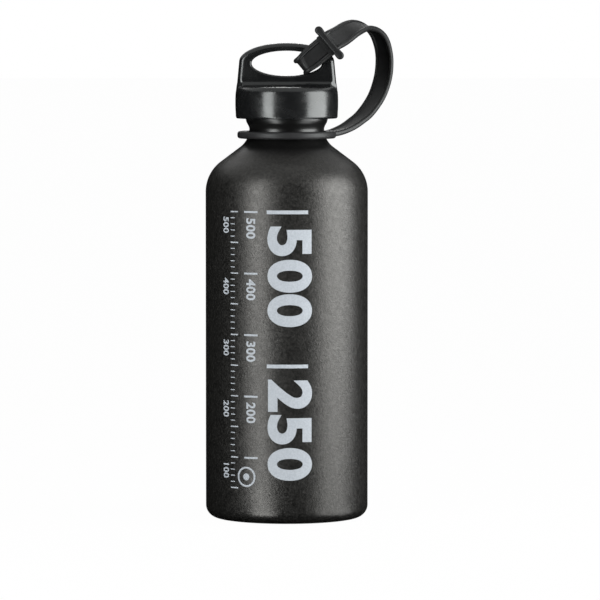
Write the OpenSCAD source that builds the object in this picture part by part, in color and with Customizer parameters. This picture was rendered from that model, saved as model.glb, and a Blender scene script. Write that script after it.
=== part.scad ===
// Camping fuel bottle: a necked aluminium bottle with a screw stopper, a push-and-turn
// cap with a carrying handle, and a rubber tether from the neck to the handle.
// Millimetres, +Z up. The origin is the centre of the base, on the surface that it stands on.

/* [Bottle] */
// Outer diameter of the barrel
body_d = 71; // [66:0.5:76]
// Height at which the barrel starts to turn into the shoulder
barrel_top = 142.8; // [120:0.2:180]
// Wall of the barrel
body_wall = 0.9; // [0.7:0.1:1.4]
// Thickness of the bottom
floor_t = 1.6; // [1.2:0.1:2.4]
// Outer radius of the bottom corner
base_round = 5.5; // [4:0.5:8]
// Diameter of the dished centre of the bottom
dish_d = 52; // [40:1:56]
// Depth of the dish
dish_h = 2.5; // [1.5:0.1:4]
// Outer radius where the barrel rolls over into the shoulder
shoulder_round = 16.5; // [13:0.5:19]
// Slope of the shoulder, in degrees from upright
shoulder_angle = 53; // [48:1:56]
// Radius of the hollow where the shoulder runs up into the neck
neck_round = 10; // [8:0.5:12]

/* [Neck] */
// Diameter of the neck at its waist
neck_d = 32.7; // [32.2:0.1:33.4]
// Diameter of the rolled lip
lip_d = 36; // [35.2:0.1:36.8]
// Height of the lip's rim above the waist
lip_h = 6.7; // [6:0.1:7.6]
// Diameter of the neck's bore, at the bottom of its thread
bore_d = 28.4; // [28:0.1:28.8]
// Depth of the cone that the seal closes on
seat_depth = 2.2; // [2:0.1:2.4]

/* [Stopper] */
// Diameter of the stopper's shank, at the bottom of its thread
shank_d = 24.8; // [23:0.1:25.2]
// Length of the shank below the lip's rim
shank_len = 11; // [9:0.5:11.5]
// Bore of the hollow inside the shank
core_d = 18; // [15:0.5:19]
// Thickness of the flange that lies on the lip
flange_t = 2; // [1.6:0.1:2.6]
// How far the flange stands out past the lip
flange_over = 2.6; // [2.2:0.1:3]
// Thickness of the sealing ring's round section
seal_t = 2; // [1.8:0.1:2.1]

/* [Push and turn clutch] */
// Number of teeth on each half of the clutch
teeth = 12; // [8, 12]
// Height of the teeth
tooth_h = 2; // [1.6:0.1:2.4]
// Radial width of the ring of teeth
tooth_w = 4.2; // [3:0.1:5]
// Free height between the two halves while nobody presses
tooth_gap = 0.4; // [0.3:0.05:0.6]
// How far the cap can be pressed down
press_travel = 1.8; // [1.4:0.1:2]
// Side play of a tooth between its two neighbours
tooth_play = 0.4; // [0.3:0.05:0.6]

/* [Spring] */
// Wire of the return spring
wire_d = 0.9; // [0.7:0.1:1]
// Mean diameter of the spring
spring_d = 12; // [11:0.5:14]
// Number of its turns
spring_turns = 4; // [3:1:5]
// Height of the two pegs that keep the spring in the middle
peg_h = 1.6; // [1:0.1:2]

/* [Cap] */
// Wall of the cap's skirt at its rim
cap_wall = 1.2; // [1.1:0.1:1.6]
// How far the skirt swells out between its rim and its top
skirt_swell = 0.4; // [0.2:0.1:0.8]
// Height of the skirt, from its rim to the ends of the shoulders
skirt_h = 13.9; // [13.4:0.1:15]
// How far the skirt's rim hangs below the lip's rim
skirt_drop = 2.3; // [2.1:0.1:2.6]
// How far the shoulders fall from the handle to the front and back
shoulder_fall = 1.3; // [0.6:0.1:2]
// Roundness of the cap's upper rim
rim_round = 2.1; // [1.4:0.1:2.4]
// Inward reach of the snap bead that holds the cap on the stopper
snap_reach = 0.9; // [0.6:0.1:1]
// Height of the snap bead
snap_h = 1.6; // [1.2:0.1:1.8]
// Thickness of the cap's roof over the spring
roof_t = 1.7; // [1.5:0.1:2]

/* [Handle] */
// Height of the handle's arch above the top of the skirt
handle_h = 19.1; // [18.5:0.1:20.5]
// Thickness of the handle
handle_t = 7; // [6:0.5:8]
// Rise of the arch over its two corners
arch_rise = 8.2; // [7.5:0.1:9]
// Width of the handle at the corners of its arch
handle_w = 40.8; // [40:0.2:43]
// Width of the window
window_w = 32.4; // [30:0.2:34]
// Height of the window
window_h = 11.3; // [10:0.1:12]
// Thickness of the arch's bar over the middle of the window
bar_t = 3.5; // [3.2:0.1:4.4]
// Rounding of the handle's edges
handle_edge = 1.2; // [0.6:0.1:1.6]
// Radius of the hollow fillet at the handle's foot
handle_fillet = 3.2; // [2:0.2:3.6]

/* [Tether] */
// Width of the strap
strap_w = 10; // [8:0.2:10.4]
// Thickness of the strap
strap_t = 2.4; // [1.8:0.1:2.6]
// Thickness of the ring on the neck
collar_h = 3.2; // [2.6:0.1:3.6]
// Outer diameter of the ring on the neck
collar_d = 43.2; // [42:0.2:46]
// How far the ring's underside lies below the neck's waist
collar_drop = 4.3; // [4:0.1:4.6]
// Compass angle at which the strap leaves the ring
strap_angle = 42; // [30:1:50]
// Length of the tab between the ring and the strap
tab_len = 2.4; // [2:0.1:4]
// Length of the loop round the handle's shoulder, from the keeper to its fold
loop_len = 16.2; // [15:0.1:16.5]
// Slope of the loop, in degrees from level
loop_slope = 40; // [38:0.5:41]
// Width of the strap where it passes through the window
loop_w = 7.6; // [7:0.2:7.8]
// Length of the keeper across the strap
keeper_l = 17.6; // [15:0.2:19]
// Thickness of the keeper's two knobs
keeper_t = 3; // [2.6:0.1:3.4]
// Length of the sleeve between the keeper and the loop
sleeve_l = 3.2; // [2:0.1:4]

/* [Clearances] */
// Between pieces of different bodies that pass each other
run_gap = 0.3; // [0.25:0.05:0.4]
// Between faces that rest on each other
rest_gap = 0.05; // [0.02:0.01:0.08]
// Between the strap's loop and the handle's faces
loop_gap = 0.4; // [0.3:0.05:0.6]

/* [Hidden] */
$fn = 96;

black = "#1c1d1f";
rubber_black = "#2b2c2e";
steel = "silver";

body_r = body_d / 2;
neck_r = neck_d / 2;
lip_r = lip_d / 2;
bore_r = bore_d / 2;
shank_r = shank_d / 2;

// The shoulder is an arc, a cone and a hollow arc, each tangent to the next.
cone_bottom_z = barrel_top + shoulder_round * sin(shoulder_angle);
cone_bottom_r = body_r - shoulder_round * (1 - cos(shoulder_angle));
cone_top_r = neck_r + neck_round * (1 - cos(shoulder_angle));
cone_top_z = cone_bottom_z + (cone_bottom_r - cone_top_r) / tan(shoulder_angle);
waist_z = cone_top_z + neck_round * sin(shoulder_angle);
mouth_z = waist_z + lip_h;

// Inside, the wall thickens towards the neck, so its cone is flatter than the outer one.
inner_angle = shoulder_angle + 9;
inner_round = shoulder_round - body_wall;
inner_r = body_r - body_wall;
throat_round = 3;
inner_cone_bottom_z = barrel_top + inner_round * sin(inner_angle);
inner_cone_bottom_r = inner_r - inner_round * (1 - cos(inner_angle));
inner_cone_top_r = bore_r + throat_round * (1 - cos(inner_angle));
inner_cone_top_z = inner_cone_bottom_z
    + (inner_cone_bottom_r - inner_cone_top_r) / tan(inner_angle);
throat_z = inner_cone_top_z + throat_round * sin(inner_angle);

// Stopper
flange_z = mouth_z + rest_gap;
flange_r = lip_r + flange_over;
flange_top = flange_z + flange_t;
seal_z = flange_z - rest_gap - seal_t / 2;
seal_r = bore_r - 0.3;
seal_groove_r = seal_r - seal_t / 2 - rest_gap;

// Clutch: the cap's teeth hang from its roof, over the gaps of the stopper's teeth.
tooth_out = flange_r - 1.1;
tooth_in = tooth_out - tooth_w;
tooth_pitch = 360 / teeth;
cap_tooth_z = flange_top + tooth_h + tooth_gap;
roof_z = cap_tooth_z + tooth_h + press_travel;

// Cap
skirt_in = flange_r + run_gap;
skirt_out = skirt_in + cap_wall;
skirt_z = mouth_z - skirt_drop;
skirt_top = skirt_z + skirt_h;
snap_top = flange_z - rest_gap;
pocket_z = skirt_top - roof_t;
pocket_r = spring_d / 2 + wire_d / 2 + 0.6;
swell_r = (pow(skirt_h / 2, 2) + pow(skirt_swell, 2)) / (2 * skirt_swell);

// Handle
handle_top = skirt_top + handle_h;
arch_z = handle_top - arch_rise;
window_z = handle_top - bar_t - window_h / 2;

// Tether
collar_z = waist_z - collar_drop;
collar_r = collar_d / 2;
band_start_r = collar_r + tab_len + rest_gap;
keeper_x = handle_w / 2 - 1.8;
keeper_z = arch_z + 8.2;
loop_in = handle_t / 2 + loop_gap;
loop_out = loop_in + strap_t;
loop_dir = [-cos(loop_slope), 0, -sin(loop_slope)];
loop_across = [sin(loop_slope), 0, -cos(loop_slope)];

// Radius of the shoulder's outer hollow at height z, used for the ring that lies on it
function hollow_r(z) = neck_r + neck_round
    - sqrt(pow(neck_round, 2) - pow(min(waist_z - z, neck_round), 2));

// Points on an arc about centre c, from angle a to angle b
function arc(c, r, a, b, n = 12) =
    [for (i = [0:n]) let (t = a + (b - a) * i / n) c + r * [cos(t), sin(t)]];

// Points round an ellipse of half-sizes a and b about [0, z], from angle s to angle e
function ellipse_arc(a, b, z, s, e, n = 40) =
    [for (i = [0:n]) let (t = s + (e - s) * i / n) [a * cos(t), z + b * sin(t)]];

function unit(v) = v / norm(v);

// Bottle: half of its section, outer skin from the base upwards and inner skin back down
dish_r = (pow(dish_d / 2, 2) + pow(dish_h, 2)) / (2 * dish_h);
dish_half = asin(dish_d / 2 / dish_r);
corner_in = base_round - body_wall;
lip_round = 1.6;
lip_in = lip_r - lip_round;

module bottle_section() {
    polygon(concat(
        arc([0, dish_h - dish_r], dish_r, 90, 90 - dish_half),
        arc([body_r - base_round, base_round], base_round, -90, 0),
        arc([body_r - shoulder_round, barrel_top], shoulder_round, 0, shoulder_angle, 16),
        arc([neck_r + neck_round, waist_z], neck_round, 180 + shoulder_angle, 180, 16),
        [[neck_r + 0.1, waist_z + 0.3], [neck_r + 0.9, waist_z + 1.6],
         [lip_r - 0.35, waist_z + 2.3], [lip_r - 0.05, waist_z + 3.8]],
        arc([lip_in, mouth_z - lip_round], lip_round, 0, 90, 8),
        [[bore_r + seat_depth, mouth_z], [bore_r, mouth_z - seat_depth]],
        arc([bore_r + throat_round, throat_z], throat_round, 180, 180 + inner_angle, 8),
        arc([inner_r - inner_round, barrel_top], inner_round, inner_angle, 0, 16),
        arc([inner_r - corner_in, floor_t + corner_in], corner_in, 0, -90, 8),
        arc([0, dish_h - dish_r], dish_r + floor_t, 90 - dish_half, 90)
    ));
}

module bottle_shell() {
    color(black) rotate_extrude() bottle_section();
}

// One clutch tooth's outline, its middle at compass angle 0
module tooth_outline() {
    half = tooth_pitch / 4;
    play = tooth_play / 2;
    intersection() {
        difference() {
            circle(r = tooth_out);
            circle(r = tooth_in);
        }
        polygon([[0, 0], [30 * cos(half), 30 * sin(half) - play],
                 [30 * cos(half), play - 30 * sin(half)]]);
    }
}

module tooth_ring(z, h, turn) {
    for (i = [0:teeth - 1])
        rotate([0, 0, turn + i * tooth_pitch])
            translate([0, 0, z]) linear_extrude(h) tooth_outline();
}

// Stopper: threaded shank, hollow from below, with its flange, teeth and spring peg
module threaded_plug() {
    color(black) {
        rotate_extrude() polygon([
            [0, flange_z - 2.5], [core_d / 2 - 1, flange_z - 2.5],
            [core_d / 2, flange_z - 3.5], [core_d / 2, mouth_z - shank_len],
            [shank_r - 0.8, mouth_z - shank_len], [shank_r, mouth_z - shank_len + 0.8],
            [shank_r, seal_z - 1.4], [seal_groove_r, seal_z - 1], [seal_groove_r, flange_z],
            [flange_r - 0.4, flange_z], [flange_r, flange_z + 0.4],
            [flange_r, flange_top - 0.4], [flange_r - 0.4, flange_top],
            [spring_d / 2 - wire_d, flange_top],
            [spring_d / 2 - wire_d - 0.3, flange_top + peg_h], [0, flange_top + peg_h]
        ]);
        tooth_ring(flange_top - 0.1, tooth_h + 0.1, 0);
    }
}

// Sealing ring under the flange, on the neck's cone
module o_ring() {
    color(rubber_black) rotate_extrude()
        translate([seal_r, seal_z]) circle(d = seal_t, $fn = 32);
}

// Return spring, one wire swept along a helix between the stopper and the cap's roof
spring_low = flange_top + wire_d / 2 + rest_gap;
spring_high = pocket_z - wire_d / 2 - rest_gap;
wire_sides = 6;
rings_per_turn = 16;
spring_rings = spring_turns * rings_per_turn;

function wire_centre(i) =
    let (a = 360 * i / rings_per_turn)
    [spring_d / 2 * cos(a), spring_d / 2 * sin(a),
     spring_low + (spring_high - spring_low) * i / spring_rings];

module return_spring() {
    points = [for (i = [0:spring_rings], k = [0:wire_sides - 1])
        let (a = 360 * i / rings_per_turn, b = 360 * k / wire_sides, r = wire_d / 2)
        wire_centre(i) + r * [cos(a) * cos(b), sin(a) * cos(b), sin(b)]];
    color(steel) tube(points, spring_rings, wire_sides);
}

// Closed tube through rings of points, two triangles for each side of each step
module tube(points, steps, sides) {
    walls = [for (i = [0:steps - 1], k = [0:sides - 1])
        let (a = i * sides + k, b = i * sides + (k + 1) % sides)
        each [[a, a + sides, b], [b, a + sides, b + sides]]];
    ends = [for (k = [1:sides - 2])
        each [[0, k, k + 1], [steps * sides, steps * sides + k + 1, steps * sides + k]]];
    polyhedron(points, concat(walls, ends));
}

// Cap: the skirt's round outside, with its upper rim rounded over
module skirt_solid() {
    middle = skirt_z + skirt_h / 2;
    rotate_extrude() intersection() {
        translate([skirt_out + skirt_swell - swell_r, middle]) circle(r = swell_r, $fn = 360);
        union() {
            translate([0, skirt_z]) square([skirt_out + 2, skirt_h - rim_round]);
            translate([0, skirt_z]) square([skirt_out - rim_round, skirt_h]);
            translate([skirt_out - rim_round, skirt_top - rim_round]) circle(r = rim_round);
        }
    }
}

// What is taken off the skirt's top so that it falls to the front and to the back
module shoulder_cut() {
    side = handle_t / 2 + handle_fillet;
    reach = skirt_out + 2;
    rotate([90, 0, 90]) linear_extrude(2 * reach, center = true) for (s = [0, 1])
        mirror([s, 0]) polygon([
            [side, skirt_top], [skirt_out, skirt_top - shoulder_fall],
            [reach, skirt_top - shoulder_fall], [reach, skirt_top + 1], [side, skirt_top + 1]
        ]);
}

// Hollow fillets along the foot of the handle
module handle_foot() {
    side = handle_t / 2;
    foot_r = skirt_out - rim_round;
    intersection() {
        translate([0, 0, skirt_top - 1]) cylinder(r = foot_r, h = handle_fillet + 1);
        rotate([90, 0, 90]) linear_extrude(2 * foot_r, center = true) for (s = [0, 1])
            mirror([s, 0]) polygon(concat(
                [[0, skirt_top - 1], [side + handle_fillet, skirt_top - 1]],
                arc([side + handle_fillet, skirt_top + handle_fillet], handle_fillet, 270, 180, 8),
                [[0, skirt_top + handle_fillet]]
            ));
    }
}

// Handle outline: falling sides under an elliptical arch, drawn in from the edge by inset
module handle_outline(inset = 0) {
    polygon(concat(
        [[-skirt_out + inset, skirt_top - 2.5], [skirt_out - inset, skirt_top - 2.5]],
        ellipse_arc(handle_w / 2 - inset, arch_rise - inset, arch_z, 0, 180)
    ));
}

module upright(thick) {
    rotate([90, 0, 0]) linear_extrude(thick, center = true) children();
}

module window_solid(grow, thick) {
    upright(thick) polygon(ellipse_arc(window_w / 2 + grow, window_h / 2 + grow, window_z, 0, 354, 59));
}

module handle() {
    difference() {
        hull() {
            upright(handle_t - 2 * handle_edge) handle_outline();
            upright(handle_t - 0.6 * handle_edge) handle_outline(0.3 * handle_edge);
            upright(handle_t) handle_outline(handle_edge);
        }
        window_solid(0, handle_t + 2);
        for (s = [-1, 1]) hull() {
            translate([0, s * (handle_t / 2 + 0.1), 0]) window_solid(0.9, 0.2);
            translate([0, s * (handle_t / 2 - 0.8), 0]) window_solid(0, 0.2);
        }
    }
}

// Cap: skirt, shoulders and handle, hollow from below, with its teeth, peg and snap bead
module cap_shell() {
    color(black) {
        difference() {
            union() {
                difference() {
                    skirt_solid();
                    shoulder_cut();
                }
                handle();
                handle_foot();
            }
            translate([0, 0, skirt_z - 1]) cylinder(r = skirt_in, h = roof_z - skirt_z);
            translate([0, 0, roof_z - 1.1]) cylinder(r1 = skirt_in, r2 = tooth_out + 0.3, h = 1.1);
            cylinder(r = pocket_r, h = pocket_z);
        }
        tooth_ring(cap_tooth_z, roof_z - cap_tooth_z + 0.1, tooth_pitch / 2);
        translate([0, 0, pocket_z - peg_h])
            cylinder(r1 = spring_d / 2 - wire_d - 0.3, r2 = spring_d / 2 - wire_d, h = peg_h + 0.1);
        snap_bead();
    }
}

module snap_bead() {
    rotate_extrude() polygon([
        [skirt_in + 0.2, snap_top - snap_h], [skirt_in, snap_top - snap_h],
        [skirt_in - snap_reach, snap_top - snap_reach * 0.8], [skirt_in - snap_reach, snap_top - 0.2],
        [skirt_in - snap_reach + 0.2, snap_top], [skirt_in + 0.2, snap_top]
    ]);
}

// Ring on the neck's hollow, with the tab that the strap grows out of
module tether_ring() {
    edge = 1.2;
    top = collar_z + collar_h;
    color(rubber_black) difference() {
        union() {
            rotate_extrude() polygon(concat(
                [[hollow_r(collar_z) - 1, collar_z]],
                arc([collar_r - edge, collar_z + edge], edge, -90, 0, 6),
                arc([collar_r - edge, top - edge], edge, 0, 90, 6),
                [[hollow_r(collar_z) - 1, top]]
            ));
            rotate([0, 0, strap_angle]) translate([collar_r - 3, -strap_w / 2, band_z - strap_t / 2])
                cube([3 + tab_len, strap_w, strap_t]);
        }
        translate([0, 0, collar_z - 0.01]) cylinder(
            r1 = hollow_r(collar_z) + run_gap, r2 = hollow_r(top) + run_gap, h = collar_h + 0.02);
    }
}

// Strap: its middle line between the ring and the keeper, as heights above the lip's rim,
// with the direction across the strap towards its near edge
band_z = collar_z + collar_h / 2;
route = [
    [[21.8, 19.2, -8.7], [0.67, -0.74, 0]],
    [[26.5, 23.4, -6.8], [0.67, -0.74, 0]],
    [[30.5, 27, -4.2], [0.67, -0.74, 0]],
    [[34.8, 30.8, -0.6], [0.67, -0.74, 0]],
    [[39.6, 35.2, 6.2], [0.67, -0.74, 0]],
    [[42.5, 37.5, 13.7], [0.67, -0.74, 0]],
    [[43.5, 38.5, 20.7], [0.67, -0.74, 0]],
    [[43, 38, 27.2], [0.68, -0.73, -0.05]],
    [[41, 34.5, 33.1], [0.72, -0.66, -0.15]],
    [[37.5, 29.5, 36.4], [0.78, -0.58, -0.22]],
    [[33, 22.5, 37.6], [0.83, -0.5, -0.27]],
    [[28.5, 14, 36.2], [0.81, -0.35, -0.46]],
    [[23.8, 6.5, 33.5], [0.67, -0.1, -0.72]]
];
ring_dir = [cos(strap_angle), sin(strap_angle), 0];
ring_across = [sin(strap_angle), -cos(strap_angle), 0];
keeper_at = [keeper_x, 0, keeper_z];
band_start = [band_start_r * ring_dir[0], band_start_r * ring_dir[1], band_z];
band_end = keeper_at - loop_dir * (keeper_t / 2 - 0.4 + rest_gap);
band_middle = concat(
    [band_start - ring_dir, band_start],
    [for (p = route) p[0] + [0, 0, mouth_z]],
    [band_end, band_end + loop_dir]
);
band_across = concat(
    [ring_across, ring_across],
    [for (p = route) p[1]],
    [loop_across, loop_across]
);
band_cuts = 3;

// Smooth value between the points b and c of a list, at share t of the way
function smooth(a, b, c, d, t) =
    0.5 * (2 * b + (c - a) * t + (2 * a - 5 * b + 4 * c - d) * t * t
    + (3 * b - a - 3 * c + d) * t * t * t);
function smooth_slope(a, b, c, d, t) =
    0.5 * ((c - a) + 2 * (2 * a - 5 * b + 4 * c - d) * t + 3 * (3 * b - a - 3 * c + d) * t * t);

// The strap's section, four rounded corners, at a point with its two directions
function strap_ring(p, across, up) =
    let (w = strap_w / 2, t = strap_t / 2, e = strap_t / 3)
    [for (q = [[w, t - e], [w - e, t], [e - w, t], [-w, t - e],
               [-w, e - t], [e - w, -t], [w - e, -t], [w, e - t]])
        p + q[0] * across + q[1] * up];

function band_ring(i, t) =
    let (
        m = band_middle,
        p = smooth(m[i - 1], m[i], m[i + 1], m[i + 2], t),
        along = unit(smooth_slope(m[i - 1], m[i], m[i + 1], m[i + 2], t)),
        w = band_across[i] * (1 - t) + band_across[i + 1] * t,
        across = unit(w - along * (w * along))
    )
    strap_ring(p, across, cross(across, along));

module tether_band() {
    last = len(band_middle) - 3;
    rings = concat(
        [strap_ring(band_start, ring_across, cross(ring_across, ring_dir))],
        [for (i = [1:last], k = [0:band_cuts - 1]) if (i > 1 || k > 0) band_ring(i, k / band_cuts)],
        [strap_ring(band_end, loop_across, cross(loop_across, loop_dir))]
    );
    color(rubber_black) tube([for (r = rings) each r], len(rings) - 1, 8);
}

// Loop round the handle's shoulder: drawn along +X from the keeper, then turned into place.
// The strap passes in front of the handle, through its window and back behind it.
module tether_loop() {
    color(rubber_black) translate(keeper_at) rotate([0, 180 - loop_slope, 0]) {
        intersection() {
            linear_extrude(strap_w, center = true) difference() {
                loop_outline(loop_len, loop_out, strap_t);
                translate([keeper_t / 4, 0]) loop_outline(loop_len - strap_t - keeper_t / 4, loop_in, 0.8);
            }
            rotate([90, 0, 0]) linear_extrude(3 * loop_out, center = true)
                polygon([[0, -strap_w / 2], [loop_len - 6, -strap_w / 2],
                         [loop_len - 2.6, -loop_w / 2], [loop_len + 1, -loop_w / 2],
                         [loop_len + 1, loop_w / 2], [loop_len - 2.6, loop_w / 2],
                         [loop_len - 6, strap_w / 2], [0, strap_w / 2]]);
        }
        keeper();
    }
}

module loop_outline(l, half, round) {
    translate([0, -half]) square([l - round, 2 * half]);
    translate([0, round - half]) square([l, 2 * (half - round)]);
    for (s = [-1, 1]) translate([l - round, s * (half - round)]) circle(r = round, $fn = 48);
}

// Cross bar with a knob at each end, and the sleeve that both layers of the strap come out of
module keeper() {
    depth = 2 * loop_out + 1;
    flat = keeper_l - keeper_t;
    bar = keeper_t - 0.8;
    rotate([90, 0, 0]) linear_extrude(depth, center = true) {
        square([bar, flat], center = true);
        for (s = [-1, 1]) translate([0, s * flat / 2]) circle(d = keeper_t, $fn = 48);
    }
    for (s = [-1, 1])
        translate([sleeve_l / 2, s * (loop_in + loop_out + 0.3) / 2, 0])
            cube([sleeve_l, strap_t + 0.3, strap_w + 0.8], center = true);
}

bottle_shell();
threaded_plug();
o_ring();
return_spring();
cap_shell();
tether_ring();
tether_band();
tether_loop();
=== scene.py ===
"""Looks of a camping fuel bottle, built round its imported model. Metres, +Z up, -Y towards the camera."""
import math

import bpy
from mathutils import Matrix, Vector


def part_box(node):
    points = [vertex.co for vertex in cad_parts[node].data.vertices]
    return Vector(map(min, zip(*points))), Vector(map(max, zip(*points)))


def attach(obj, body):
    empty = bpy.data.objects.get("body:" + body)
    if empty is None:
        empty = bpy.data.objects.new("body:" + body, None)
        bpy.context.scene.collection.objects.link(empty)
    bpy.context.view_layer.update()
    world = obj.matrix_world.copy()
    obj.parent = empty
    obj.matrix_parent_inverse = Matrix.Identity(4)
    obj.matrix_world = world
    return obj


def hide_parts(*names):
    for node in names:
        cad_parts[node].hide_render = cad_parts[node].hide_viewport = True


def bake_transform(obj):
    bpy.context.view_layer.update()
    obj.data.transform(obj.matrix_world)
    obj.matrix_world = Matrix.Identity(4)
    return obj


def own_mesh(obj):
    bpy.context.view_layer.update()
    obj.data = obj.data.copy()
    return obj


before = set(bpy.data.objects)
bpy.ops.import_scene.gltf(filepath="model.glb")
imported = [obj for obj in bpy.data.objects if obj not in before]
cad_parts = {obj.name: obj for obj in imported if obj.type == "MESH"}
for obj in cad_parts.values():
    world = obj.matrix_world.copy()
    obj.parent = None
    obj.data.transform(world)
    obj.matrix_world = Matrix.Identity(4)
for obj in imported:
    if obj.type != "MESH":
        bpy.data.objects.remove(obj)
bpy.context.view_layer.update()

MM = 0.001

# Camera: the photograph's view, a long lens a little above the bottle's middle
VIEW_FROM = Vector((5.8, -1978, 218)) * MM
VIEW_AT = Vector((5.8, 0, 95.3)) * MM
VIEW_WIDTH = 263 * MM
SENSOR = 36


def make_camera():
    bpy.ops.object.camera_add(location=VIEW_FROM)
    camera = bpy.context.object
    camera.name = "camera"
    sight = VIEW_AT - VIEW_FROM
    camera.rotation_euler = sight.to_track_quat("-Z", "Y").to_euler()
    camera.data.sensor_width = SENSOR
    camera.data.lens = SENSOR * sight.length / VIEW_WIDTH
    camera.data.clip_start = 0.1
    camera.data.clip_end = 50
    bpy.context.scene.camera = camera


make_camera()

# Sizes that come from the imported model
shell_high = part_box("bottle_shell")[1]
cap_low, cap_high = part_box("cap_shell")
plug_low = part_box("threaded_plug")[0]
ring_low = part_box("tether_ring")[0]
spring_low, spring_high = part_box("return_spring")

BODY_R = shell_high.x
MOUTH_Z = shell_high.z
SKIRT_Z = cap_low.z
HANDLE_TOP = cap_high.z
COLLAR_Z = ring_low.z
PLUG_LOW = plug_low.z

# Sizes of the bottle
BASE_ROUND = 5.5 * MM
DISH_R = 26 * MM
DISH_H = 2.5 * MM
FLOOR_T = 1.6 * MM
WALL = 0.9 * MM
BARREL_TOP = 142.8 * MM
SHOULDER_ROUND = 16.5 * MM
SHOULDER_ANGLE = 53
NECK_ROUND = 10 * MM
NECK_R = 16.35 * MM
WAIST_Z = MOUTH_Z - 6.7 * MM
LIP_R = 18 * MM
LIP_ROUND = 1.6 * MM
BORE_R = 14.2 * MM
SEAT_DEPTH = 2.2 * MM
INNER_ANGLE = SHOULDER_ANGLE + 9
THROAT_ROUND = 3 * MM
SMOOTH_NECK_Z = 166.6 * MM       # the paint is smooth from here up
PAINT_FADE = 9.4 * MM            # height over which its grain thins out below, and the painted shade under the ring comes in

# Sizes of the screw thread between the stopper and the neck
THREAD_LEAD = 3 * MM
THREAD_TURNS = 2
MALE_ROOT = 12.35 * MM
MALE_CREST = 13.8 * MM
FEMALE_ROOT = 14.3 * MM
FEMALE_CREST = 12.8 * MM

# Sizes of the cap and its handle
SKIRT_IN = 20.9 * MM
SKIRT_OUT = 22.1 * MM
SKIRT_SWELL = 0.4 * MM
SKIRT_H = 13.9 * MM
SKIRT_TOP = SKIRT_Z + SKIRT_H
RIM_ROUND = 2.1 * MM
SHOULDER_FALL = 1.3 * MM
SNAP_BEAD = 0.9 * MM
HANDLE_T = 7 * MM
HANDLE_W = 41.6 * MM
HANDLE_EDGE = 2.3 * MM
WINDOW_EDGE = 1 * MM
FILLET = 3.2 * MM
CHEEK_W = 4.8 * MM
ARCH_RISE = 8.2 * MM
ARCH_Z = HANDLE_TOP - ARCH_RISE
BAR_T = 3.45 * MM
WINDOW_W = 30.8 * MM
WINDOW_H = 10.9 * MM
WINDOW_Z = HANDLE_TOP - BAR_T - WINDOW_H / 2
ROOF_Z = MOUTH_Z + 8.25 * MM
POCKET_Z = SKIRT_TOP - 1.7 * MM
POCKET_R = 7.05 * MM
TEETH = 12
TOOTH_H = 3.8 * MM
TOOTH_OUT = 19.5 * MM
TOOTH_IN = 15.3 * MM
TOOTH_PLAY = 0.2 * MM
PEG_H = 1.6 * MM
PEG_R = 5 * MM
VOXEL = 0.335 * MM               # grain of the remesh that melts the cap's parts together

# Sizes of the return spring
WIRE_R = 0.45 * MM
COIL_R = 6 * MM
COIL_TURNS = 4

# Sizes of the tether
COLLAR_H = 3.2 * MM
COLLAR_R = 21.6 * MM
COLLAR_EDGE = 1.2 * MM
COLLAR_GAP = 0.3 * MM
STRAP_W = 10 * MM
STRAP_T = 2.4 * MM
STRAP_BEAD = 1.05 * MM
STRAP_BORDER = 2.3 * MM
STRAP_ANGLE = math.radians(42)
TAB_LEN = 2.4 * MM
LOOP_LEN = 16.2 * MM
LOOP_SLOPE = math.radians(40)
LOOP_GAP = 0.4 * MM
LOOP_BEND = 2.3 * MM
KEEPER_L = 17.6 * MM
KEEPER_T = 3.3 * MM
SLEEVE_L = 3.2 * MM
KEEPER_AT = Vector((18.6 * MM, 0, HANDLE_TOP))


# Helpers for modelling

def deselect():
    if bpy.context.object and bpy.context.object.mode != "OBJECT":
        bpy.ops.object.mode_set(mode="OBJECT")
    bpy.ops.object.select_all(action="DESELECT")


def pick(piece):
    """Makes piece the only selected object."""
    deselect()
    piece.select_set(True)
    bpy.context.view_layer.objects.active = piece


def name_piece(piece, name):
    piece.name = name
    piece.data.name = name
    return piece


def select_faces(piece, test):
    """Selects the faces of the piece that the test says yes to, in edit mode."""
    bpy.ops.object.mode_set(mode="EDIT")
    bpy.ops.mesh.select_mode(type="FACE")
    bpy.ops.mesh.select_all(action="DESELECT")
    bpy.ops.object.mode_set(mode="OBJECT")
    for face in piece.data.polygons:
        face.select = test(face)
    bpy.ops.object.mode_set(mode="EDIT")


def ramp(value, start, length):
    """Runs from 0 to 1 as the value runs over the length from its start, and stays there."""
    return max(0.0, min(1.0, (value - start) / length))


def arc(centre, radius, start, end, steps=12):
    """Points (across, up) on an arc, from one angle in degrees to another."""
    angles = [math.radians(start + (end - start) * i / steps) for i in range(steps + 1)]
    return [(centre[0] + radius * math.cos(a), centre[1] + radius * math.sin(a)) for a in angles]


def ellipse_arc(half_w, half_h, up, start, end, steps):
    return [(x * half_w, up + z * half_h) for x, z in arc((0, 0), 1, start, end, steps)]


def drawn(name, points):
    """A line of edges, drawn by pulling one corner from point to point. Stays in edit mode."""
    deselect()
    bpy.ops.mesh.primitive_plane_add(size=MM)
    piece = name_piece(bpy.context.object, name)
    bpy.ops.object.mode_set(mode="EDIT")
    bpy.ops.mesh.select_mode(type="VERT")
    bpy.ops.mesh.select_all(action="SELECT")
    bpy.ops.mesh.merge(type="CENTER")
    bpy.ops.transform.translate(value=points[0])
    for before, after in zip(points, points[1:]):
        step = Vector(after) - Vector(before)
        bpy.ops.mesh.extrude_vertices_move(TRANSFORM_OT_translate={"value": step})
    bpy.ops.mesh.select_all(action="SELECT")
    return piece


def clean_up():
    """Merges doubled corners and turns all faces outwards, then leaves edit mode."""
    bpy.ops.mesh.select_all(action="SELECT")
    bpy.ops.mesh.remove_doubles(threshold=0.001 * MM)
    bpy.ops.mesh.normals_make_consistent(inside=False)
    bpy.ops.object.mode_set(mode="OBJECT")


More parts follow.
